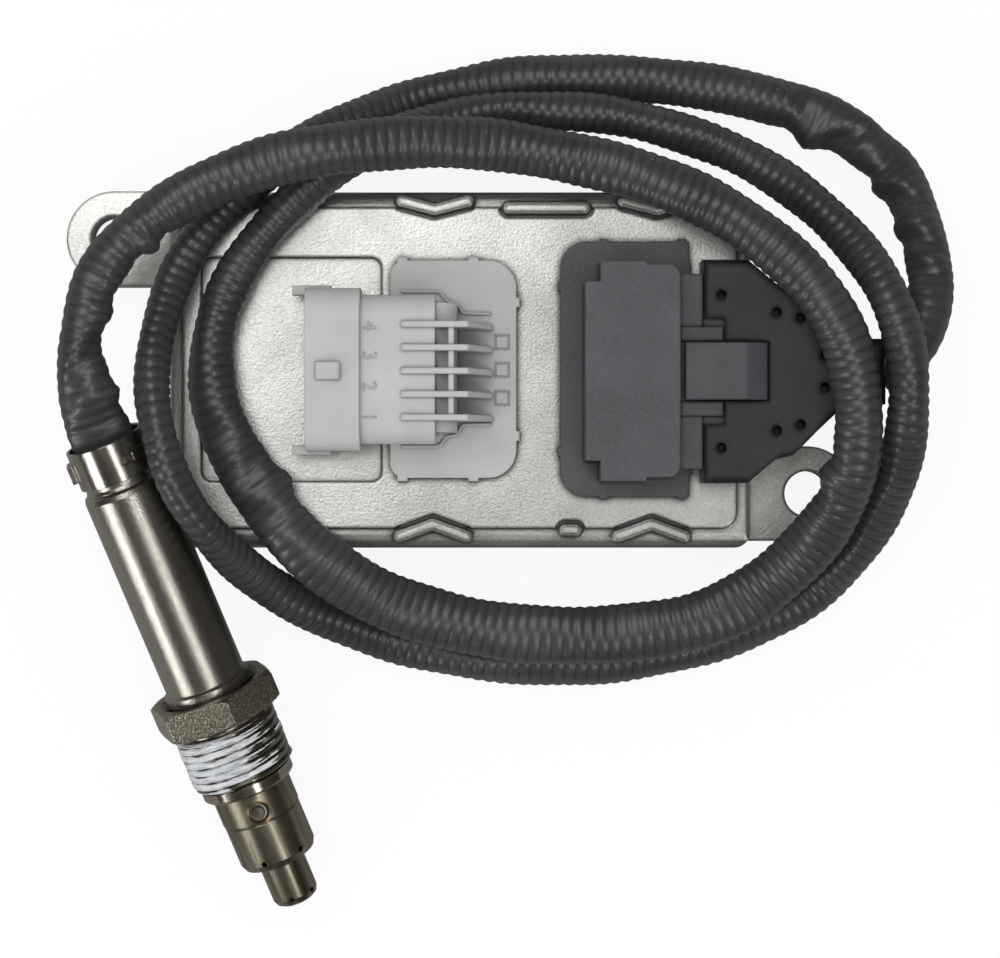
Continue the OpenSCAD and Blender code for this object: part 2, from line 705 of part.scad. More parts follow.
// Cable sleeve, swept along its route
module sensor_cable() {
    points = [for (i = [0:ring_n - 1])
        let (side = unit(cross(ring_dir(i), [0, 0, 1])), up = unit(cross(side, ring_dir(i))))
        for (j = [0:sides - 1])
            rings[i] + ring_r(i) * (cos(360 * j / sides) * side + sin(360 * j / sides) * up)];
    skin = [for (i = [0:ring_n - 2], j = [0:sides - 1])
        [i * sides + j, i * sides + (j + 1) % sides, (i + 1) * sides + (j + 1) % sides, (i + 1) * sides + j]];
    ends = [[for (j = [sides - 1:-1:0]) j], [for (j = [0:sides - 1]) (ring_n - 1) * sides + j]];
    color([0.16, 0.16, 0.17]) polyhedron(points, concat(skin, ends), convexity = 10);
}

// Places what follows on the probe's axis, from its cable end towards its tip
module on_probe(u = 0) {
    translate(probe_start) rotate([90 + tilt, 0, probe_turn]) translate([0, 0, u]) children();
}

// Slot for the sensing element
module element_slot(h) {
    translate([0, 0, h / 2]) cube([element_w + 2 * fit_gap, element_t + 2 * fit_gap, h + 2], center = true);
}

// Stainless ring crimped over the sleeve's end
module crimp_ring() {
    color([0.72, 0.7, 0.66]) on_probe() difference() {
        union() {
            rotate_extrude() translate([crimp_r - crimp_wall, 0]) square([crimp_wall, crimp_l]);
            rotate([0, 0, 178]) translate([crimp_r - 0.2, -2.2, 2.2]) cube([1, 4.4, 3.4]);
        }
        rotate([0, 0, 62]) translate([crimp_r - 2, -1.2, 3.2]) cube([4, 2.4, 1.6]);
        rotate([0, 0, 28]) translate([crimp_r - 2, -0.7, 1.2]) cube([4, 1.4, 3.4]);
    }
}

// Rubber grommet that seals the wires in the shell's neck
module wire_grommet() {
    step = u_shell - sleeve_in + 1.7;
    color([0.12, 0.12, 0.12]) on_probe(sleeve_in) {
        cylinder(r = neck_bore - fit_gap, h = step + eps);
        translate([0, 0, step]) cylinder(r = shell_bore - fit_gap, h = u_holder - sleeve_in - step);
    }
}

// Drawn stainless shell, necked at the cable end and flared over the core
module probe_shell() {
    bottom = u_shell + shell_l;
    color([0.76, 0.74, 0.7]) on_probe() rotate_extrude() polygon([
        [neck_bore, sleeve_in], [neck_r, sleeve_in], [neck_r, u_crimp + 0.8], [neck_r + 0.2, u_shell],
        [shell_r - 0.9, u_shell + 0.1], [shell_r - 0.25, u_shell + 0.6], [shell_r, u_shell + 1.5],
        [shell_r, bottom], [flare_r, bottom + 0.4], [flare_r, bottom + flare_h],
        [shell_bore, bottom + flare_h], [shell_bore, u_shell + 1.6], [neck_bore, u_shell + 1]
    ]);
}

// Ceramic holder that presses the contacts on the sensing element
module contact_holder() {
    color([0.9, 0.88, 0.82]) on_probe(u_holder) difference() {
        cylinder(r = shell_bore - 0.4, h = 18);
        translate([0, 0, 6]) element_slot(12);
        for (side = [-1, 1]) translate([0, side * (shell_bore - 0.4), 9]) cube([5, 2, 30], center = true);
    }
}

// Powder and ceramic rings that hold the element gas-tight in the core
core_top = u_shell + shell_l - 12;
bush_l = 6;
talc_l = 8;
module packing(u, h) {
    on_probe(u) difference() {
        cylinder(r = body_bore, h = h);
        element_slot(h);
    }
}

module rear_bush() {
    color([0.92, 0.9, 0.85]) packing(core_top + 1, bush_l);
}

module talc_packing() {
    color([0.86, 0.85, 0.82]) packing(core_top + 1 + bush_l, talc_l);
}

module front_bush() {
    color([0.92, 0.9, 0.85]) packing(core_top + 1 + bush_l + talc_l, bush_l);
}

// Planar zirconia sensing element
module sensing_element() {
    top = u_shell + 14;
    color([0.88, 0.88, 0.86]) on_probe(top)
        translate([-element_w / 2, -element_t / 2, 0]) cube([element_w, element_t, u_tip - 3 - top]);
}

// Turned steel core with the sealing flange
module probe_body() {
    step = u_shell + shell_l + flare_h;
    bore_end = core_top + 1 + 2 * bush_l + talc_l;
    spigot = outer_r - tube_wall - fit_gap;
    color([0.6, 0.58, 0.54]) on_probe() rotate_extrude() polygon([
        [body_bore, core_top], [shell_bore - 0.05, core_top], [shell_bore - 0.05, step], [core_r, step],
        [core_r, u_flange], [flange_r, u_flange], [flange_r, u_tubes - 0.4], [flange_r - 0.4, u_tubes],
        [spigot, u_tubes], [spigot, u_tubes + 3], [element_w / 2 + 0.6, u_tubes + 3],
        [element_w / 2 + 0.6, bore_end], [body_bore, bore_end]
    ]);
}

// Nut that turns on the core: hexagon, neck and threaded sleeve
module fitting_nut() {
    bore = core_r + run_gap;
    sink = 1.5;
    chamfer = 1.2;
    color([0.5, 0.48, 0.45]) on_probe() difference() {
        union() {
            intersection() {
                rotate([0, 0, 14.5]) translate([0, 0, u_hex]) cylinder(r = hex_r, h = hex_h, $fn = 6);
                rotate_extrude() polygon([[0, u_hex], [nut_af / 2 - 0.2, u_hex], [hex_r + 0.2, u_hex + chamfer],
                    [hex_r + 0.2, u_neck - chamfer / 2], [nut_af / 2 + 0.4, u_neck], [0, u_neck]]);
            }
            translate([0, 0, u_neck - eps]) cylinder(r = thread_r - 1, h = neck_l + 2 * eps);
            translate([0, 0, u_neck + neck_l]) cylinder(r = thread_r, h = thread_l - 0.8);
            translate([0, 0, u_thread_end - 0.8 - eps]) cylinder(r1 = thread_r, r2 = thread_r - 0.8, h = 0.8 + eps);
        }
        translate([0, 0, u_hex - 1]) cylinder(r = bore, h = u_thread_end - u_hex + 2);
        translate([0, 0, u_hex - eps]) cylinder(r1 = nut_af / 2 - 1.2, r2 = bore, h = sink);
    }
}

// Ring of small holes round a tube
module gas_holes(u, r, count, turn) {
    for (i = [0:count - 1]) rotate([0, 0, turn + 360 * i / count]) translate([r - 2, 0, u])
        rotate([0, 90, 0]) cylinder(r = gas_r, h = 4, $fn = 24);
}

// Outer protection tube, stepped at its weld seam and closed round the inner one
module outer_shield() {
    seam = u_tubes + 6.1;
    r2 = outer_r - 0.15;
    color([0.5, 0.46, 0.4]) on_probe() difference() {
        rotate_extrude() polygon([
            [outer_r - tube_wall, u_tubes], [outer_r, u_tubes], [outer_r, seam - 0.3], [r2 - 0.15, seam],
            [r2, seam + 0.3], [r2, u_outer_end - 1.6], [r2 - 0.5, u_outer_end - 0.5],
            [r2 - 1.6, u_outer_end], [inner_r + 0.05, u_outer_end], [inner_r + 0.05, u_outer_end - tube_wall],
            [r2 - 1.4, u_outer_end - tube_wall], [outer_r - tube_wall - 0.4, u_outer_end - 1.6],
            [outer_r - tube_wall - 0.4, seam], [outer_r - tube_wall, seam - 0.6]
        ]);
        gas_holes(u_outer_end - 2, outer_r, 6, 50);
    }
}

// Inner protection tube with its rounded end
module inner_shield() {
    top = u_tubes + 3;
    bore = inner_r - tube_wall;
    color([0.52, 0.48, 0.42]) on_probe() difference() {
        rotate_extrude() polygon([
            [element_w / 2 + 1, top], [outer_r - tube_wall - 0.1, top], [outer_r - tube_wall - 0.1, top + tube_wall],
            [inner_r, top + tube_wall], [inner_r, u_tip - 1.6], [inner_r - 0.4, u_tip - 0.6],
            [inner_r - 1.2, u_tip - 0.1], [inner_r - 2, u_tip], [1, u_tip], [1, u_tip - tube_wall],
            [inner_r - 2, u_tip - tube_wall], [bore, u_tip - 1.8], [bore, top + 2], [element_w / 2 + 1, top + 1]
        ]);
        gas_holes(u_tip - 1.6, inner_r, 6, 38);
    }
}

housing();
base_plate();
housing_seal();
circuit_board();
board_screws();
microcontroller();
driver_chip();
capacitors();
vehicle_connector();
vehicle_pins();
connector_seal();
sensor_header();
header_pins();
header_seal();
plug_body();
plug_cover();
sensor_cable();
crimp_ring();
wire_grommet();
probe_shell();
contact_holder();
rear_bush();
talc_packing();
front_bush();
sensing_element();
probe_body();
fitting_nut();
outer_shield();
inner_shield();
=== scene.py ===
import bpy
import math
import numpy as np
from mathutils import Euler, Matrix, Vector


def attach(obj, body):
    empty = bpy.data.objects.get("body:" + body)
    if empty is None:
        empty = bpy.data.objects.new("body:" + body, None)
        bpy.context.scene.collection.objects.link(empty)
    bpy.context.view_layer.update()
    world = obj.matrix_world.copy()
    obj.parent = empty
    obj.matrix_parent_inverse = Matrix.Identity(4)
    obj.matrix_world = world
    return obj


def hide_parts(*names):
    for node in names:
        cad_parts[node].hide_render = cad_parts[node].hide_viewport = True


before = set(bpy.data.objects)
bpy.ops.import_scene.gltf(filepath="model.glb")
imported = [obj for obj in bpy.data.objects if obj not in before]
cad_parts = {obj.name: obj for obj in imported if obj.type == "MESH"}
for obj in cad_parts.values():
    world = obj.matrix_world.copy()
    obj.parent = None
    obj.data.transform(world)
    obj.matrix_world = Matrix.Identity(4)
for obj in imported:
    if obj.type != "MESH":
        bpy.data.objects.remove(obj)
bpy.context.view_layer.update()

MM = 0.001

# Camera, 600 mm above the floor and straight down, with the photograph's scale
camera_data = bpy.data.cameras.new("camera")
camera_data.sensor_width = 36
camera_data.lens = 111.24
camera = bpy.data.objects.new("camera", camera_data)
camera.location = (0.0076, -0.0217, 0.6)
bpy.context.scene.collection.objects.link(camera)
bpy.context.scene.camera = camera


# Helpers for the finishes

def linear(code):
    """Turns an sRGB hex colour into the linear colour that a shader wants."""
    parts = [int(code[i:i + 2], 16) / 255 for i in (1, 3, 5)]
    return [p / 12.92 if p <= 0.04045 else ((p + 0.055) / 1.055) ** 2.4 for p in parts] + [1.0]


def add(tree, kind, settings=None, links=None):
    """Adds one node with its settings and links. A name or number is an input, or else a property."""
    node = tree.nodes.new(kind)
    for name, value in (settings or {}).items():
        if name == "stops":
            ramp = node.color_ramp
            while len(ramp.elements) < len(value):
                ramp.elements.new(0.5)
            for stop, (place, colour) in zip(ramp.elements, value):
                stop.position = place
                stop.color = linear(colour)
        elif isinstance(name, int) or name in node.inputs:
            node.inputs[name].default_value = value
        else:
            setattr(node, name, value)
    for name, source in (links or {}).items():
        tree.links.new(source, node.inputs[name])
    return node


def new_finish(name, colour, metallic, roughness):
    """Starts a finish from its base colour, its metallic value and its roughness."""
    finish = bpy.data.materials.new(name)
    finish.use_nodes = True
    shader = finish.node_tree.nodes["Principled BSDF"]
    shader.inputs["Base Color"].default_value = linear(colour)
    shader.inputs["Metallic"].default_value = metallic
    shader.inputs["Roughness"].default_value = roughness
    place = add(finish.node_tree, "ShaderNodeTexCoord").outputs["Object"]
    return finish, finish.node_tree, shader, place


# As a size, this leaves coordinates as they are that are already stretched to a pattern's own size
AS_STRETCHED = 1000


def grain(tree, shader, place, size_mm, depth_mm, strength=1.0, edge_mm=0.0, detail=3.0):
    """Bump of a real grain size and depth, over edges that are softened by edge_mm."""
    noise = add(tree, "ShaderNodeTexNoise", {"Scale": 1000 / size_mm, "Detail": detail}, {"Vector": place})
    bump = add(tree, "ShaderNodeBump", {"Strength": strength, "Distance": depth_mm * MM},
               {"Height": noise.outputs["Fac"]})
    if edge_mm:
        soft = add(tree, "ShaderNodeBevel", {"samples": 6, "Radius": edge_mm * MM})
        tree.links.new(soft.outputs["Normal"], bump.inputs["Normal"])
    tree.links.new(bump.outputs["Normal"], shader.inputs["Normal"])
    return bump


def mottle(tree, shader, place, size_mm, stops, detail=3.0):
    """Base colour that wanders between the stops in patches of size_mm."""
    noise = add(tree, "ShaderNodeTexNoise", {"Scale": 1000 / size_mm, "Detail": detail}, {"Vector": place})
    ramp = add(tree, "ShaderNodeValToRGB", {"stops": stops}, {"Fac": noise.outputs["Fac"]})
    tree.links.new(ramp.outputs["Color"], shader.inputs["Base Color"])


def over(tree, shader, mask, colour):
    """Lays one more colour over the base colour where the mask is 1."""
    base = shader.inputs["Base Color"]
    under = base.links[0].from_socket
    mix = add(tree, "ShaderNodeMix", {"data_type": "RGBA", 7: linear(colour)}, {0: mask, 6: under})
    tree.links.new(mix.outputs[2], base)
    return mix


def over_where(tree, shader, value, start, full, most, colour):
    """Lays a colour over the base colour: none where the value is at start, the most where it is at full."""
    mask = add(tree, "ShaderNodeMapRange", {"From Min": start, "From Max": full, "To Max": most}, {"Value": value})
    over(tree, shader, mask.outputs["Result"], colour)


def specks(tree, shader, place, size_mm, detail, start, full, most, colour):
    """Dust and pale fibre ends of size_mm."""
    noise = add(tree, "ShaderNodeTexNoise", {"Scale": 1000 / size_mm, "Detail": detail}, {"Vector": place})
    over_where(tree, shader, noise.outputs["Fac"], start, full, most, colour)


def dark_corners(tree, shader, reach_mm, colour, most):
    """Painted shade: darkens the inner corners within reach_mm of a step, as far as ambient occlusion finds them.
    """
    corner = add(tree, "ShaderNodeAmbientOcclusion", {"samples": 8, "Distance": reach_mm * MM})
    over_where(tree, shader, corner.outputs["AO"], 0.93, 0.55, most, colour)


# The probe lies on its own line: z runs along it to the tip, from the cable's end of the shell
PROBE_START = Vector((-0.0658, -0.0143, 0.027893))
PROBE_TURN = Euler((math.radians(103.394), 0, math.radians(21.4)), "XYZ")
PROBE = Matrix.Translation(PROBE_START) @ PROBE_TURN.to_matrix().to_4x4()


def along_probe(tree, place):
    """Coordinates that run along the probe, for brushing and heat colours."""
    return add(tree, "ShaderNodeMapping", {"vector_type": "TEXTURE", "Location": PROBE_START,
                                           "Rotation": PROBE_TURN}, {"Vector": place}).outputs["Vector"]


# Finishes of the control unit

# Die-cast aluminium, tumbled: a pale satin skin, peppered with pits painted dark as their shade and grains painted
# bright as glints
cast_aluminium, tree, shader, place = new_finish("die_cast_aluminium_tumbled", "#C6C5C1", 0.9, 0.3)
# Flow marks of the casting, about 16 mm across
mottle(tree, shader, place, 16, [(0.32, "#BCBCB8"), (0.68, "#DBDBD8")])
# Painted shade of pits and painted glints of grains, about 0.4 mm apart, from the high and the low end of one
# noise
painted_pits_and_glints = add(tree, "ShaderNodeTexNoise", {"Scale": 2400, "Detail": 4.0, "Roughness": 0.75}, {"Vector": place})
over_where(tree, shader, painted_pits_and_glints.outputs["Fac"], 0.52, 0.74, 0.5, "#4E4D4A")
over_where(tree, shader, painted_pits_and_glints.outputs["Fac"], 0.45, 0.30, 0.6, "#F2F1EE")
# Painted shade in the corners beside the housing's steps
dark_corners(tree, shader, 1.6, "#3B3A37", 0.85)
grain(tree, shader, place, 0.5, 0.05, 0.9, edge_mm=0.8, detail=4.0)

# Rolled aluminium sheet, stamped: even grey, with faint rolling lines 50 mm long and 0.7 mm apart
plate_aluminium, tree, shader, place = new_finish("rolled_aluminium_sheet", "#B4B6B8", 1.0, 0.34)
lines = add(tree, "ShaderNodeMapping", {"Scale": (20, 1400, 1400)}, {"Vector": place}).outputs["Vector"]
mottle(tree, shader, lines, AS_STRETCHED, [(0.3, "#A2A4A6"), (0.7, "#C2C4C6")])
grain(tree, shader, lines, AS_STRETCHED, 0.01, 0.4, edge_mm=0.2)

# Silicone rubber, moulded: matt black with a faint bloom
seal_rubber, tree, shader, place = new_finish("moulded_silicone_rubber", "#27282A", 0.0, 0.7)
mottle(tree, shader, place, 3, [(0.3, "#222325"), (0.7, "#303133")])
grain(tree, shader, place, 0.4, 0.02, 0.5)

# Glass-epoxy laminate under green solder mask: a smooth lacquer over a fine weave of 0.6 mm
board_green, tree, shader, place = new_finish("solder_masked_epoxy_laminate", "#1F5A36", 0.0, 0.32)
mottle(tree, shader, place, 5, [(0.3, "#1B4F30"), (0.7, "#24653E")])
weave = add(tree, "ShaderNodeTexChecker", {"Scale": 1600.0}, {"Vector": place})
weave_bump = add(tree, "ShaderNodeBump", {"Strength": 0.15, "Distance": 0.00002}, {"Height": weave.outputs["Fac"]})
tree.links.new(weave_bump.outputs["Normal"], shader.inputs["Normal"])

# Zinc-plated screw steel: bright, cool grey
screw_steel, tree, shader, place = new_finish("zinc_plated_steel", "#B9BBBD", 1.0, 0.3)
mottle(tree, shader, place, 1.5, [(0.3, "#A9ABAD"), (0.7, "#C9CBCD")])
grain(tree, shader, place, 0.2, 0.01, 0.5)

# Moulding compound of a chip: matt black, very fine grain
chip_black, tree, shader, place = new_finish("epoxy_moulding_compound", "#242424", 0.0, 0.6)
mottle(tree, shader, place, 2, [(0.3, "#1F1F1F"), (0.7, "#2A2A2A")])
grain(tree, shader, place, 0.15, 0.01, 0.5)

# Deep-drawn aluminium can: bright, with a fine even grain
can_aluminium, tree, shader, place = new_finish("drawn_aluminium_can", "#C6C8CA", 1.0, 0.28)
mottle(tree, shader, place, 2, [(0.3, "#B6B8BA"), (0.7, "#D0D2D4")])
grain(tree, shader, place, 0.3, 0.01, 0.4)

# PBT with glass fibre, moulded in light grey: satin, with a fine spark-eroded texture
grey_pbt, tree, shader, place = new_finish("moulded_grey_pbt", "#B4B6B4", 0.0, 0.5)
mottle(tree, shader, place, 9, [(0.3, "#AFB1AF"), (0.7, "#BABCBA")])
specks(tree, shader, place, 2 / 3, 1.0, 0.64, 0.76, 0.2, "#C4C6C4")
# Painted shade in the grey connector's inner corners
dark_corners(tree, shader, 0.8, "#7C7E7D", 0.6)
grain(tree, shader, place, 0.35, 0.015, 0.6, edge_mm=0.6)

# Tin-plated brass contact: soft pale metal
tinned_pins, tree, shader, place = new_finish("tin_plated_brass", "#C9C6BC", 1.0, 0.3)
mottle(tree, shader, place, 1.5, [(0.3, "#BDBAB0"), (0.7, "#D2CFC5")])
grain(tree, shader, place, 0.2, 0.01, 0.4)

# PBT with glass fibre, moulded in black: charcoal, with pale fibre ends and handling dust
black_pbt, tree, shader, place = new_finish("moulded_black_pbt", "#47484C", 0.0, 0.46)
mottle(tree, shader, place, 11, [(0.3, "#424347"), (0.7, "#4D4E52")])
specks(tree, shader, place, 0.3125, 3.0, 0.48, 0.74, 0.45, "#64656A")
# Painted shade in the header's inner corners
dark_corners(tree, shader, 1.0, "#161618", 0.8)
grain(tree, shader, place, 0.4, 0.03, 0.7, edge_mm=0.5)

# Glass-filled polyamide of the plug, moulded in black: a shade darker than the header, with rounder edges
plug_pbt, tree, shader, place = new_finish("moulded_black_polyamide", "#404145", 0.0, 0.46)
mottle(tree, shader, place, 8, [(0.3, "#3B3C40"), (0.7, "#46474B")])
specks(tree, shader, place, 0.3125, 3.0, 0.48, 0.74, 0.45, "#5E5F63")
# Painted shade in the plug's inner corners
dark_corners(tree, shader, 0.8, "#161618", 0.8)
grain(tree, shader, place, 0.4, 0.02, 0.6, edge_mm=0.8)

# PBT of the plug's cover, moulded in deep black: satin, and darker than the plug itself
cover_pbt, tree, shader, place = new_finish("moulded_deep_black_pbt", "#202124", 0.0, 0.46)
mottle(tree, shader, place, 9, [(0.3, "#1C1D20"), (0.7, "#26272A")])
specks(tree, shader, place, 0.3125, 3.0, 0.48, 0.74, 0.4, "#434448")
grain(tree, shader, place, 0.4, 0.02, 0.6, edge_mm=1.8)


# Finishes of the cable and the probe

# Corrugated sleeve, polyamide coated with rubber: charcoal, with a soft sheen on each rib and pale dust
sleeve_rubber, tree, shader, place = new_finish("rubber_coated_corrugated_sleeve", "#343435", 0.0, 0.36)
shader.inputs["Specular IOR Level"].default_value = 0.85
mottle(tree, shader, place, 16, [(0.3, "#303031"), (0.7, "#3E3E3F")])
# Painted shade in the grooves between the ribs
over(tree, shader, add(tree, "ShaderNodeAttribute", {"attribute_name": "groove"}).outputs["Fac"], "#151516")
specks(tree, shader, place, 2 / 3, 2.0, 0.66, 0.76, 0.4, "#77787A")
grain(tree, shader, place, 0.3, 0.02, 0.8)

# Stainless steel, stamped and tumbled: pale warm grey, softly polished
crimp_steel, tree, shader, place = new_finish("stamped_stainless_steel", "#A8A49A", 1.0, 0.2)
mottle(tree, shader, place, 4, [(0.3, "#969288"), (0.7, "#B4B0A6")])
grain(tree, shader, place, 0.5, 0.03, 0.5, edge_mm=0.25)

# Stainless steel tube, drawn and tumbled: satin, with a fine grain that breaks up its highlights' edges
shell_steel, tree, shader, place = new_finish("satin_stainless_tube", "#ABA69D", 1.0, 0.24)
# Draw lines 0.25 mm wide and 20 mm long
draw = add(tree, "ShaderNodeMapping", {"Scale": (4000, 4000, 50)}, {"Vector": along_probe(tree, place)})
mottle(tree, shader, draw.outputs["Vector"], AS_STRETCHED, [(0.3, "#A29D94"), (0.7, "#B6B1A7")], detail=2.0)
grain(tree, shader, place, 0.3, 0.05, 1.0, edge_mm=0.15)

# Fired steatite inside the probe: dense white ceramic
ceramic_white, tree, shader, place = new_finish("fired_steatite", "#E4E1D8", 0.0, 0.35)
mottle(tree, shader, place, 3, [(0.3, "#DCD9D0"), (0.7, "#EAE7DE")])
grain(tree, shader, place, 0.2, 0.01, 0.4)

# Packing powder inside the probe: chalky and matt
talc_powder, tree, shader, place = new_finish("pressed_talc", "#CFCDC6", 0.0, 0.85)
mottle(tree, shader, place, 1, [(0.3, "#C4C2BB"), (0.7, "#D8D6CF")])
grain(tree, shader, place, 0.2, 0.05, 0.8)

# Turned stainless steel of the probe's core, heated in use: brownish grey, with turning lines 0.2 mm apart
core_steel, tree, shader, place = new_finish("turned_stainless_heat_browned", "#B0A898", 1.0, 0.16)
turning = add(tree, "ShaderNodeMapping", {"Scale": (60, 60, 5000)}, {"Vector": along_probe(tree, place)})
mottle(tree, shader, turning.outputs["Vector"], AS_STRETCHED, [(0.3, "#A1998A"), (0.7, "#BEB7A8")], detail=1.0)
grain(tree, shader, turning.outputs["Vector"], AS_STRETCHED, 0.008, 0.4, edge_mm=0.15)

# Steel nut, hot-forged and nickel-plated: a skin of coarse sparkling grains with a warm tint. Where "turned" is
# 1 it is cut and smooth, and where "paste" is high the thread is smeared with greasy, pale anti-seize paste
nut_steel, tree, shader, place = new_finish("forged_nickel_plated_steel", "#A9A294", 1.0, 0.3)
mottle(tree, shader, place, 0.42, [(0.38, "#8E8778"), (0.5, "#ABA494"), (0.62, "#CBC3B1")], detail=2.0)
turned = add(tree, "ShaderNodeAttribute", {"attribute_name": "turned"}).outputs["Fac"]
over(tree, shader, turned, "#8E897E")
# Smears of the paste, 4 mm long round the thread and 0.7 mm along it
smears = add(tree, "ShaderNodeMapping", {"Scale": (260, 260, 1500)}, {"Vector": along_probe(tree, place)})
smear = add(tree, "ShaderNodeTexNoise", {"Scale": 1.0, "Detail": 4.0, "Roughness": 0.6},
            {"Vector": smears.outputs["Vector"]}).outputs["Fac"]
spread = add(tree, "ShaderNodeMath", {"operation": "MULTIPLY_ADD", 1: 1.5, 2: -0.75}, {0: smear})
paste = add(tree, "ShaderNodeAttribute", {"attribute_name": "paste"}).outputs["Fac"]
thick = add(tree, "ShaderNodeMath", {"operation": "ADD"}, {0: paste, 1: spread.outputs[0]}).outputs[0]
covered = add(tree, "ShaderNodeMapRange", {"From Min": 0.36, "From Max": 0.5}, {"Value": thick})
paste_mix = over(tree, shader, covered.outputs["Result"], "#C3C6CA")
paste_tone = add(tree, "ShaderNodeValToRGB", {"stops": [(0.35, "#9FA2A6"), (0.5, "#C6C9CD"), (0.65, "#DADCDF")]},
                 {"Fac": smear})
tree.links.new(paste_tone.outputs["Color"], paste_mix.inputs[7])
metal_left = add(tree, "ShaderNodeMapRange", {"From Min": 0.36, "From Max": 0.5, "To Min": 1.0, "To Max": 0.0},
                 {"Value": thick})
tree.links.new(metal_left.outputs["Result"], shader.inputs["Metallic"])
cut_gloss = add(tree, "ShaderNodeMapRange", {"To Min": 0.3, "To Max": 0.2}, {"Value": turned})
tree.links.new(cut_gloss.outputs["Result"], shader.inputs["Roughness"])
skin_bump = grain(tree, shader, place, 0.42, 0.07, 1.0, edge_mm=0.3)
cut_smooth = add(tree, "ShaderNodeMapRange", {"To Min": 1.0, "To Max": 0.12}, {"Value": turned})
tree.links.new(cut_smooth.outputs["Result"], skin_bump.inputs["Strength"])

# Stainless steel tube, browned by exhaust heat: bronze to dark straw, in streaks 1.1 mm wide and 17 mm long
heated_steel, tree, shader, place = new_finish("heat_browned_stainless_tube", "#8C8573", 1.0, 0.31)
streaks = add(tree, "ShaderNodeMapping", {"Scale": (900, 900, 60)}, {"Vector": along_probe(tree, place)})
mottle(tree, shader, streaks.outputs["Vector"], AS_STRETCHED, [(0.3, "#70695A"), (0.7, "#A69F8E")])
grain(tree, shader, place, 0.5, 0.02, 0.5, edge_mm=0.2)

CAD_FINISHES = {
    "housing": cast_aluminium, "base_plate": plate_aluminium, "housing_seal": seal_rubber,
    "circuit_board": board_green, "board_screws": screw_steel, "microcontroller": chip_black,
    "driver_chip": chip_black, "capacitors": can_aluminium, "vehicle_connector": grey_pbt,
    "vehicle_pins": tinned_pins, "connector_seal": seal_rubber, "sensor_header": black_pbt,
    "header_pins": tinned_pins, "header_seal": seal_rubber, "plug_body": plug_pbt, "plug_cover": cover_pbt,
    "sensor_cable": sleeve_rubber, "crimp_ring": crimp_steel, "wire_grommet": seal_rubber,
    "probe_shell": shell_steel, "contact_holder": ceramic_white, "rear_bush": ceramic_white,
    "talc_packing": talc_powder, "front_bush": ceramic_white, "sensing_element": ceramic_white,
    "probe_body": core_steel, "fitting_nut": nut_steel, "outer_shield": heated_steel,
    "inner_shield": heated_steel,
}
for node, finish in CAD_FINISHES.items():
    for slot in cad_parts[node].material_slots:
        slot.material = finish


# Helpers for the pieces

def piece(name, points, faces, finish, body, smooth=True):
    """A new mesh piece that rides on a body and carries the given finish."""
    mesh = bpy.data.meshes.new(name)
    mesh.from_pydata([tuple(p) for p in points], [], faces)
    mesh.validate()
    mesh.materials.append(finish)
    mesh.polygons.foreach_set("use_smooth", [smooth] * len(mesh.polygons))
    made = bpy.data.objects.new(name, mesh)
    bpy.context.scene.collection.objects.link(made)
    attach(made, body)
    return made


def ring_faces(rings, sides, closed=False, inward=False):
    """Four-sided faces between rings that have the same number of points."""
    faces = []
    for ring in range(rings if closed else rings - 1):
        here, after = ring * sides, (ring + 1) % rings * sides
        for side in range(sides):
            a, b = side, (side + 1) % sides
            if inward:
                a, b = b, a
            faces.append((here + a, here + b, after + b, after + a))
    return faces


def mark(made, name, values):
    """Gives each point of a piece a number that its finish reads."""
    made.data.attributes.new(name, "FLOAT", "POINT").data.foreach_set("value", values)


# Cable

# Points that the cable follows, in mm, from the plug to the probe's crimp ring
ROUTE = [
    (77.9, -1.4, 21.9), (84.5, 3, 22), (88, 10, 20.5), (88.5, 18.5, 17), (87, 28, 12), (82, 38.5, 7),
    (70, 47.5, 4.5), (52, 53, 4.5), (31, 55.5, 4.5), (10, 55, 4.5), (-9, 51, 5),
    (-25, 44, 12), (-37, 36, 18.5), (-47, 26, 21), (-54, 13, 24.5), (-56.5, -2, 30.5),
    (-54.5, -15, 33.5), (-49, -28, 31), (-36, -42, 15.5), (-17, -51.5, 4.5), (6, -56.5, 4.5),
    (30, -56.5, 4.5), (52, -51.5, 4.5), (70, -41, 8), (80.5, -25, 19), (83, -8, 30.5),
    (80.5, 9, 30.5), (71.5, 25, 21.5), (54.5, 39, 13), (34, 46.5, 11.5), (13, 48.5, 11.5),
    (-5, 46, 13), (-22, 37.5, 21), (-36, 25, 21), (-45, 10, 21), (-46, -6, 21), (-40, -20, 21),
    (-28.5, -35, 20), (-11, -46, 14.5), (12, -51, 12.5), (36, -50.5, 13),
    (54, -44.5, 15), (68, -31, 22), (73.5, -15.5, 30.5), (72, 1, 32), (65, 14, 32), (52, 26, 28),
    (34, 35, 22.5), (13, 40, 20.5), (-6, 41, 25.5), (-24, 39, 30),
    (-40, 35, 31), (-55, 27.5, 31), (-65.5, 17, 31), (-69.5, 5, 30.8), (-68.8, -5, 30.6),
    (-66.86, -11.58, 28.59), (-64.74, -17.02, 27.20),
]
# Width of the flattened sleeve seen from above, in mm, against the number of the route point
WIDTHS = [
    (0, 8.8), (3, 8.4), (5, 9.2), (6, 10.2), (7, 9.0), (9, 8.8), (11, 8.2), (13, 7.0), (15, 6.4), (17, 6.6),
    (18, 8.0), (20, 8.6), (23, 8.6), (25, 7.6), (27, 7.6), (29, 7.4), (31, 7.2), (33, 7.2), (34, 7.6),
    (35, 9.0), (36, 10.6), (37, 10.9), (39, 11.0), (41, 11.0), (42, 10.2), (43, 8.8), (45, 9.2), (47, 9.6),
    (49, 9.8), (51, 9.6), (52, 8.8), (53, 8.6), (54, 8.0), (55, 10.0), (56, 12.0), (57, 12.4),
]
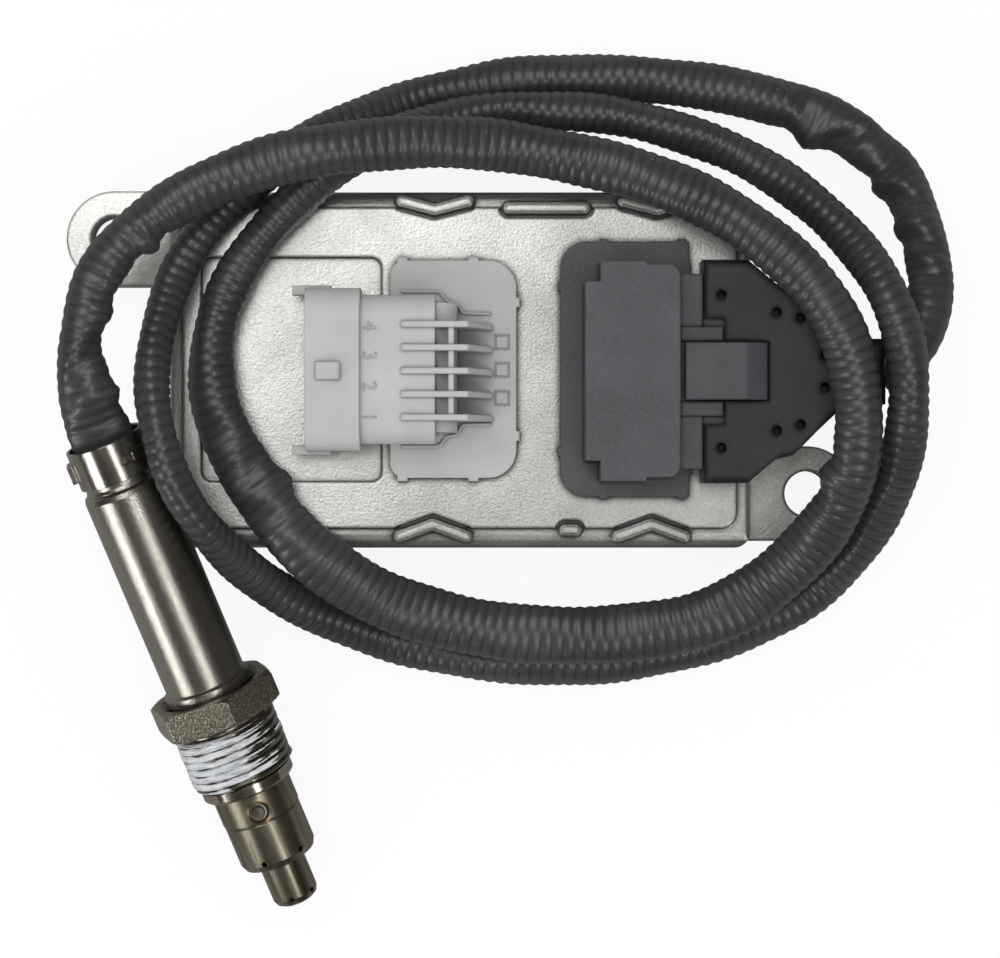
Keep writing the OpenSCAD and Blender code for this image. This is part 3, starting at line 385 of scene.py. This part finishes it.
# How clearly the ribs stand out there: they are pressed flat where the sleeve is kinked
RIB_STRENGTH = [
    (0, 0.5), (1, 0.6), (3, 0.7), (4.5, 0.5), (6.2, 0.5), (7, 0.8), (9, 1.0), (33, 1.0), (35, 0.9),
    (36.2, 0.75), (38, 1.0), (50, 1.0), (52, 0.8), (55, 0.8), (56, 0.6), (57, 0.0),
]
# Creases, and bulges with a depth below zero: route point, angle round the sleeve in degrees, depth and
# width in mm, slant in mm a radian, reach round the sleeve in radians
CREASES = [
    (2.2, 180, -0.8, 2.2, 0.0, 0.8), (3.85, 180, -0.9, 2.0, 0.0, 0.8), (4.75, 180, -1.1, 2.0, 0.0, 0.8),
    (6.05, 180, -1.6, 2.8, 0.0, 0.9), (2.7, 110, 0.5, 2.2, 3.0, 0.9), (3.4, 120, 0.7, 2.0, 3.0, 0.9),
    (4.35, 125, 0.8, 2.0, 4.0, 0.9), (5.1, 60, 0.6, 2.4, -3.0, 0.9), (5.75, 130, 1.0, 2.0, 4.0, 1.0),
    (6.25, 80, 0.5, 2.0, -2.4, 0.9),
    (35.4, 60, 0.4, 2.6, 3.0, 0.9), (36.0, 110, 0.6, 2.6, -3.0, 0.8), (36.5, 70, 0.7, 2.4, 2.6, 0.8),
    (36.3, 180, -1.0, 2.4, 0.0, 0.8), (42.6, 180, -1.2, 2.2, 0.0, 0.9), (42.45, 80, 0.6, 2.4, 3.0, 0.8),
    (52.35, 180, -1.3, 1.9, 0.0, 0.9), (52.4, 110, 0.7, 2.4, -2.6, 0.8), (53.6, 180, -0.8, 2.2, 0.0, 0.8),
    (53.2, 90, 0.35, 2.2, 2.0, 0.8), (54.55, 100, 0.8, 2.4, -5.0, 1.0), (54.3, 180, 0.5, 2.4, 0.0, 0.8),
    (55.2, 180, -0.9, 1.9, 0.0, 0.8), (55.5, 70, 0.4, 2.2, 2.0, 0.8),
]
RIB_PITCH = 2.15
RIB_DEPTH = 0.23
# Five rings to a rib, as shares of its pitch and depth: the bottom of the groove and four on the round crown
RIB_PROFILE = [(0.0, -0.6), (0.2, -0.08), (0.4, 0.36), (0.6, 0.36), (0.8, -0.08)]
GROOVE_BOTTOM = 0.6
# How dark the painted shade at the bottom of a groove gets
GROOVE_SHADE = 0.5
SIDES = 40
# Radius of the sleeve where it isn't pressed flat, and the most that it stands above its centreline
ROUND_R, MOST_HIGH = 4.45, 4.4
FLOOR_GAP = 0.05


def smooth_line(points, steps):
    """Points on one smooth curve through the given ones, with the number of each on the way."""
    p = np.array(points, float)
    p = np.vstack([2 * p[0] - p[1], p, 2 * p[-1] - p[-2]])
    t = np.linspace(0, 1, steps, endpoint=False)[:, None]
    line, number = [], []
    for i in range(1, len(p) - 2):
        a, b, c, d = p[i - 1:i + 3]
        line.append(0.5 * (2 * b + (c - a) * t + (2 * a - 5 * b + 4 * c - d) * t * t
                           + (3 * b - a - 3 * c + d) * t ** 3))
        number.append(i - 1 + t[:, 0])
    line.append(p[-2][None, :])
    number.append([len(points) - 1.0])
    return np.vstack(line), np.concatenate(number)


line, number = smooth_line(ROUTE, 60)
run = np.concatenate([[0], np.cumsum(np.linalg.norm(np.diff(line, axis=0), axis=1))])
cable_length = run[-1]
ribs = int(cable_length / RIB_PITCH)
stations = np.array([(i + share) * cable_length / ribs for i in range(ribs) for share, _ in RIB_PROFILE]
                    + [cable_length])
heights = np.array([height for _, height in RIB_PROFILE] * ribs + [0.0])
centre = np.stack([np.interp(stations, run, line[:, k]) for k in range(3)], 1)
on_route = np.interp(stations, run, number)
ahead = np.gradient(centre, axis=0)
ahead /= np.linalg.norm(ahead, axis=1)[:, None]
across = np.cross(ahead, [0, 0, 1])
across /= np.linalg.norm(across, axis=1)[:, None]
upward = np.cross(across, ahead)
half_wide = np.interp(on_route, *zip(*WIDTHS)) / 2
# The sleeve keeps its girth, so it is lower where it is wider, and it is never higher than it is round
half_high = np.minimum(np.sqrt(np.maximum(2 * ROUND_R ** 2 - half_wide ** 2, 4)), MOST_HIGH)
angle = np.linspace(0, 2 * math.pi, SIDES, endpoint=False)
strength = np.interp(on_route, *zip(*RIB_STRENGTH))
rib = heights * RIB_DEPTH * strength * (1 + 0.25 * np.sin(stations * 0.37) * np.sin(stations * 0.083))
# Slow unevenness of a sleeve that has been bent by hand, in mm
wander = (0.12 * np.sin(stations[:, None] * 0.31 + 2 * angle)
          + 0.10 * np.sin(stations[:, None] * 0.17 - 3 * angle))
push = rib[:, None] + wander
for at_point, turn, depth, width, slant, reach in CREASES:
    start = np.interp(at_point, number, run)
    off = (angle - math.radians(turn) + math.pi) % (2 * math.pi) - math.pi
    fall = np.exp(-(off / reach) ** 2)
    d = (stations[:, None] - start - slant * off) / width
    # A crease throws up a low fold on each side
    push = push - depth * fall * (np.exp(-d * d) - 0.45 * np.exp(-(d - 1.9) ** 2) - 0.35 * np.exp(-(d + 1.9) ** 2))
wide = (half_wide[:, None] + push) * np.cos(angle)
high = (half_high[:, None] + push) * np.sin(angle)
skin = centre[:, None, :] + wide[:, :, None] * across[:, None, :] + high[:, :, None] * upward[:, None, :]
# Where the flattened sleeve lies low it rests on the floor
skin[:, :, 2] = np.maximum(skin[:, :, 2], FLOOR_GAP)
rings = len(stations)
sleeve_faces = ring_faces(rings, SIDES)
sleeve_faces += [tuple(range(SIDES - 1, -1, -1)), tuple(range((rings - 1) * SIDES, rings * SIDES))]
sleeve = piece("corrugated_sleeve", skin.reshape(-1, 3) * MM, sleeve_faces, sleeve_rubber, "sensor")
# Each ring's share of the painted shade in the grooves
in_groove = np.clip(-heights / GROOVE_BOTTOM, 0, 1)
mark(sleeve, "groove", np.repeat(in_groove * strength * GROOVE_SHADE, SIDES))
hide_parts("sensor_cable")


# Nut

# Lengths along the probe and radii, in mm, as in part.scad
HEX_START, HEX_END, NECK_END, THREAD_END = 51.8, 57.6, 59.1, 69.7
HEX_HALF, HEX_CORNER, BORE, COUNTERSINK = 11.0, 14.5, 8.06, 9.8
NECK_R, THREAD_R, THREAD_PITCH = 9.0, 10.0, 1.5
# Half width and depth of the groove between two turns of paste and thread
GROOVE_HALF, GROOVE_DEPTH = 0.34, 0.62
TURN_SIDES = 144
THREAD_STEPS = 84
# Rings of the hexagon: place after its start, and the radius that the chamfer leaves there
HEX_RINGS = [(0.0, 11.5), (0.12, 11.75), (0.35, 12.15), (0.7, 12.65), (1.0, 13.0), (2.9, 13.0),
             (4.9, 13.0), (5.3, 12.6), (5.6, 12.1), (5.8, 11.6)]


def hex_radius(turn, limit):
    """Radius of the hexagon at an angle in degrees, cut by the chamfer's cone."""
    off = (turn - HEX_CORNER) % 60 - 30
    return min(HEX_HALF / math.cos(math.radians(off)), limit)


def paste_swell(a, u):
    """Swells of the paste that no hand spreads evenly, in mm."""
    return (0.09 * math.sin(3 * a + 1.1 * u) + 0.07 * math.sin(5 * a - 0.7 * u + 1.3)
            + 0.05 * math.sin(9 * a + 2.3 * u))


def thread_ring(u):
    """Radii round the thread at u, and how much paste lies there."""
    lead_in = min(1.0, (u - NECK_END) / 0.5 + 0.2, (THREAD_END - u) / 0.7 + 0.25)
    radii, cover = [], []
    for t in turns:
        a = math.radians(t)
        off = abs((u / THREAD_PITCH - t / 360) % 1 - 0.5) * THREAD_PITCH
        swell = paste_swell(a, u)
        groove = max(0.0, 1 - off / GROOVE_HALF)
        crest = max(0.0, (off - 0.62) / 0.13)
        # More of the steel is bare on the side away from the front, and on the last turn
        coat = 0.98 - 0.75 * max(0.0, math.cos(a - 0.35)) ** 2 - 0.5 * max(0.0, (u - 67.9) / 1.5)
        radii.append(THREAD_R - 0.08 - (1 - lead_in) * 0.9 - GROOVE_DEPTH * groove ** 1.2
                     + swell * (1 - groove) * 0.8)
        cover.append(coat - 0.85 * groove - 0.3 * crest + 1.3 * swell)
    return radii, cover


turns = [HEX_CORNER + i * 360 / TURN_SIDES for i in range(TURN_SIDES)]
NO_PASTE = [-1.0] * TURN_SIDES
# Rings from the bore's rear end over the outside to its front end: place, radii, turned or forged, paste
nut_rings = [(HEX_START + 1.5, [BORE] * TURN_SIDES, 1.0, NO_PASTE),
             (HEX_START, [COUNTERSINK] * TURN_SIDES, 1.0, NO_PASTE)]
for at, limit in HEX_RINGS:
    nut_rings.append((HEX_START + at, [hex_radius(t, limit) for t in turns], 0.0, NO_PASTE))
for u, radius in ((HEX_END, NECK_R + 0.4), (HEX_END + 0.3, NECK_R), (NECK_END - 0.05, NECK_R)):
    nut_rings.append((u, [radius] * TURN_SIDES, 1.0, NO_PASTE))
for i in range(THREAD_STEPS + 1):
    u = NECK_END + (THREAD_END - NECK_END) * i / THREAD_STEPS
    radii, cover = thread_ring(u)
    nut_rings.append((u, radii, 1.0, cover))
nut_rings.append((THREAD_END, [BORE] * TURN_SIDES, 1.0, NO_PASTE))

round_about = [(math.cos(math.radians(t)), math.sin(math.radians(t))) for t in turns]
nut_points = [PROBE @ (Vector((r * c, r * s, u)) * MM)
              for u, radii, _, _ in nut_rings for r, (c, s) in zip(radii, round_about)]
nut_faces = ring_faces(len(nut_rings), TURN_SIDES, closed=True, inward=True)
nut = piece("nut_with_thread", nut_points, nut_faces, nut_steel, "fitting_nut")
# The hexagon's flats, the step behind them and both flat ends keep hard edges
last_turn = len(nut_rings) - 2
smooth_rings = [(r < 1 or r > len(HEX_RINGS) + 2) and r < last_turn for r in range(len(nut_rings))]
nut.data.polygons.foreach_set("use_smooth", [smooth for smooth in smooth_rings for _ in turns])
mark(nut, "turned", [turned_here for _, _, turned_here, _ in nut_rings for _ in turns])
mark(nut, "paste", [amount for _, _, _, cover in nut_rings for amount in cover])
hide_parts("fitting_nut")


# Details on the grey connector

FLANGE_TOP, BODY_TOP = 17.8, 30.7


def ridge(name, paths, width, low, high, finish, body):
    """A raised line along each of the given paths, in mm, with mitred corners and a narrower top."""
    points, faces = [], []
    for path in paths:
        closed = path[0] == path[-1]
        nodes = [Vector(q) for q in (path[:-1] if closed else path)]
        count, base = len(nodes), len(points)
        for k, here in enumerate(nodes):
            before = nodes[k - 1] if closed or k else here
            after = nodes[(k + 1) % count] if closed or k < count - 1 else here
            into = (here - before).normalized() if here != before else (after - here).normalized()
            out = (after - here).normalized() if after != here else into
            side = Vector((-into.y - out.y, into.x + out.x)).normalized()
            reach = width / 2 / max(0.4, side.dot(Vector((-into.y, into.x))))
            for z, share in ((low, 1.0), (high - 0.06, 1.0), (high, 0.6)):
                points += [(*((here + side * reach * share) * MM), z * MM),
                           (*((here - side * reach * share) * MM), z * MM)]
        loop = (0, 2, 4, 5, 3, 1)
        for k in range(count if closed else count - 1):
            a, b = base + 6 * k, base + 6 * ((k + 1) % count)
            faces += [(a + u, b + u, b + v, a + v) for u, v in zip(loop, loop[1:] + loop[:1])]
        if not closed:
            faces += [tuple(base + u for u in loop), tuple(base + 6 * (count - 1) + u for u in loop[::-1])]
    return piece(name, points, faces, finish, body, smooth=False)


# The two lips mirror each other about the connector's middle
UPPER_LIP = [(-11.0, 13.6), (-4.3, 13.6), (-3.5, 13.3), (-2.8, 12.2), (-2.2, 11.7), (-0.9, 11.5), (-0.3, 11.1),
             (0.3, 9.9), (0.9, 9.5), (5.9, 9.4)]
LIPS_APART = -1.97
lower_lip = [(x, LIPS_APART - y) for x, y in UPPER_LIP]
ridge("flange_lips", [UPPER_LIP, lower_lip], 0.45, FLANGE_TOP - 0.1, FLANGE_TOP + 0.6, grey_pbt, "sensor")

# Three double frames in a row on the flange
FRAME_X, FRAME_YS, FRAME_HALVES = 8, (4.1, -1.15, -6.45), (1.4, 1.1)
frames = [[(FRAME_X - half, y - half), (FRAME_X + half, y - half), (FRAME_X + half, y + half),
           (FRAME_X - half, y + half), (FRAME_X - half, y - half)] for y in FRAME_YS for half in FRAME_HALVES]
ridge("date_frames", frames, 0.14, FLANGE_TOP - 0.1, FLANGE_TOP + 0.12, grey_pbt, "sensor")

# Raised contact numbers, read from the socket's side
NUMERAL_X, NUMERAL_SIZE, NUMERAL_HEIGHT = -16.55, 3.6, 0.12
for contact, y in ((4, 6.5), (3, 1.05), (2, -4.6), (1, -10.3)):
    sign = bpy.data.curves.new("contact_number_%d" % contact, "FONT")
    sign.body = str(contact)
    sign.size = NUMERAL_SIZE * MM
    sign.extrude = NUMERAL_HEIGHT * MM
    sign.align_x = "CENTER"
    sign.align_y = "CENTER"
    sign.materials.append(grey_pbt)
    numeral = bpy.data.objects.new("contact_number_%d" % contact, sign)
    numeral.location = (NUMERAL_X * MM, y * MM, BODY_TOP * MM)
    numeral.rotation_euler = (0, 0, -math.pi / 2)
    bpy.context.scene.collection.objects.link(numeral)
    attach(numeral, "sensor")


# Weld on the outer protection tube

# Place along the probe and round it, and radii, in mm
WELD_U, WELD_TURN, TUBE_R = 75.8, math.radians(88), 7.65
# From the middle outwards: distance, and height over the tube
WELD_PROFILE = [(0.0, 0.05), (0.5, 0.05), (0.9, 0.05), (1.15, 0.08), (1.4, 0.13), (1.6, 0.16), (1.8, 0.12),
                (1.95, 0.05), (2.2, 0.03), (2.6, 0.012)]
WELD_SIDES = 48
WELD_R = WELD_PROFILE[-1][0]

# A resistance weld pressed into the tube: a flat crater in a low rim, with heat colours round it
weld_tint, tree, shader, place = new_finish("weld_with_heat_colours", "#8A8272", 1.0, 0.32)
away = add(tree, "ShaderNodeVectorMath", {"operation": "LENGTH"}, {0: place})
reach = add(tree, "ShaderNodeMath", {"operation": "MULTIPLY", 1: 1 / (WELD_R * MM)}, {0: away.outputs["Value"]})
tint = add(tree, "ShaderNodeValToRGB", {"stops": [(0.0, "#7E776C"), (0.3, "#8E887C"), (0.46, "#6E6A66"),
                                                  (0.56, "#A29C90"), (0.66, "#5E6068"), (0.76, "#6F5C40"),
                                                  (0.88, "#97876A"), (1.0, "#A0977F")]}, {"Fac": reach.outputs[0]})
tree.links.new(tint.outputs["Color"], shader.inputs["Base Color"])
grain(tree, shader, place, 0.3, 0.02, 0.6)


def on_tube(turn, lift, u):
    """A point in mm over the outer protection tube."""
    return Vector(((TUBE_R + lift) * math.cos(turn), (TUBE_R + lift) * math.sin(turn), u))


weld_middle = on_tube(WELD_TURN, 0.0, WELD_U)
weld_points = []
for distance, lift in WELD_PROFILE:
    for k in range(WELD_SIDES):
        a = 2 * math.pi * k / WELD_SIDES
        turn = WELD_TURN + distance * math.cos(a) / TUBE_R
        weld_points.append((on_tube(turn, lift, WELD_U + distance * math.sin(a)) - weld_middle) * MM)
weld_faces = ring_faces(len(WELD_PROFILE), WELD_SIDES, inward=True)
weld = piece("weld_spot", weld_points, weld_faces, weld_tint, "sensor")
weld.matrix_world = PROBE @ Matrix.Translation(weld_middle * MM)


# Studio

# Metal beside the part sees a greyer floor, as in a room where the white paper ends
floor_finish, tree, shader, place = new_finish("pale_floor", "#F4F4F3", 0.0, 0.9)
ray = add(tree, "ShaderNodeLightPath")
paper = add(tree, "ShaderNodeMix", {"data_type": "RGBA", 6: linear("#F4F4F3"), 7: linear("#8E8E8C")},
            {0: ray.outputs["Is Glossy Ray"]})
tree.links.new(paper.outputs[2], shader.inputs["Base Color"])
# The camera sees mostly plain white, and the rest keeps the part's shadow
glow = add(tree, "ShaderNodeEmission", {"Color": (1, 1, 1, 1), "Strength": 1.0})
share = add(tree, "ShaderNodeMath", {"operation": "MULTIPLY", 1: 0.9}, {0: ray.outputs["Is Camera Ray"]})
blend = add(tree, "ShaderNodeMixShader", None,
            {0: share.outputs[0], 1: shader.outputs[0], 2: glow.outputs[0]})
tree.links.new(blend.outputs[0], tree.nodes["Material Output"].inputs["Surface"])

# Half side of the floor, and its place just below the part, in metres
FLOOR_HALF, FLOOR_Z = 3, -0.0003
floor_mesh = bpy.data.meshes.new("floor")
floor_mesh.from_pydata([(-FLOOR_HALF, -FLOOR_HALF, FLOOR_Z), (FLOOR_HALF, -FLOOR_HALF, FLOOR_Z),
                        (FLOOR_HALF, FLOOR_HALF, FLOOR_Z), (-FLOOR_HALF, FLOOR_HALF, FLOOR_Z)], [], [(0, 1, 2, 3)])
floor_mesh.materials.append(floor_finish)
floor = bpy.data.objects.new("floor", floor_mesh)
bpy.context.scene.collection.objects.link(floor)

# The room is dark round the pale floor and the softboxes, which gives round metal its bands
world = bpy.data.worlds.new("studio")
bpy.context.scene.world = world
world.use_nodes = True
tree = world.node_tree
tree.nodes.clear()
height = add(tree, "ShaderNodeSeparateXYZ", None, {0: add(tree, "ShaderNodeTexCoord").outputs["Generated"]})
room = add(tree, "ShaderNodeValToRGB", {"stops": [(0.0, "#3A3835"), (0.80, "#474541"), (0.95, "#7A7874"),
                                                  (1.0, "#9A9895")]}, {"Fac": height.outputs["Z"]})
ray = add(tree, "ShaderNodeLightPath")
soft = add(tree, "ShaderNodeBackground", {"Color": (1, 1, 1, 1), "Strength": 0.76})
seen = add(tree, "ShaderNodeBackground", {"Strength": 1.0}, {"Color": room.outputs["Color"]})
white = add(tree, "ShaderNodeBackground", {"Color": (1, 1, 1, 1), "Strength": 1.0})
metal_sees = add(tree, "ShaderNodeMixShader", None,
                 {0: ray.outputs["Is Glossy Ray"], 1: soft.outputs[0], 2: seen.outputs[0]})
glass_sees = add(tree, "ShaderNodeMixShader", None,
                 {0: ray.outputs["Is Transmission Ray"], 1: metal_sees.outputs[0], 2: white.outputs[0]})
all_see = add(tree, "ShaderNodeMixShader", None,
              {0: ray.outputs["Is Camera Ray"], 1: glass_sees.outputs[0], 2: white.outputs[0]})
tree.links.new(all_see.outputs[0], add(tree, "ShaderNodeOutputWorld").inputs["Surface"])


def softbox(name, place, aim, size, length, power):
    """A plain oblong lamp that points at a spot."""
    lamp = bpy.data.lights.new(name, "AREA")
    lamp.shape = "RECTANGLE"
    lamp.size = size
    lamp.size_y = length
    lamp.energy = power
    box = bpy.data.objects.new(name, lamp)
    box.location = place
    box.rotation_euler = (Vector(aim) - Vector(place)).to_track_quat("-Z", "Y").to_euler()
    bpy.context.scene.collection.objects.link(box)


softbox("overhead_softbox", (-0.18, 0.23, 0.86), (0, 0, 0), 0.5, 0.5, 1.65)
softbox("right_softbox", (0.34, -0.33, 0.78), (0, -0.02, 0), 0.14, 0.4, 0.95)
softbox("left_softbox", (-0.61, -0.53, 0.41), (0, -0.02, 0), 0.14, 0.36, 1.15)

bpy.context.scene.view_settings.view_transform = "Standard"
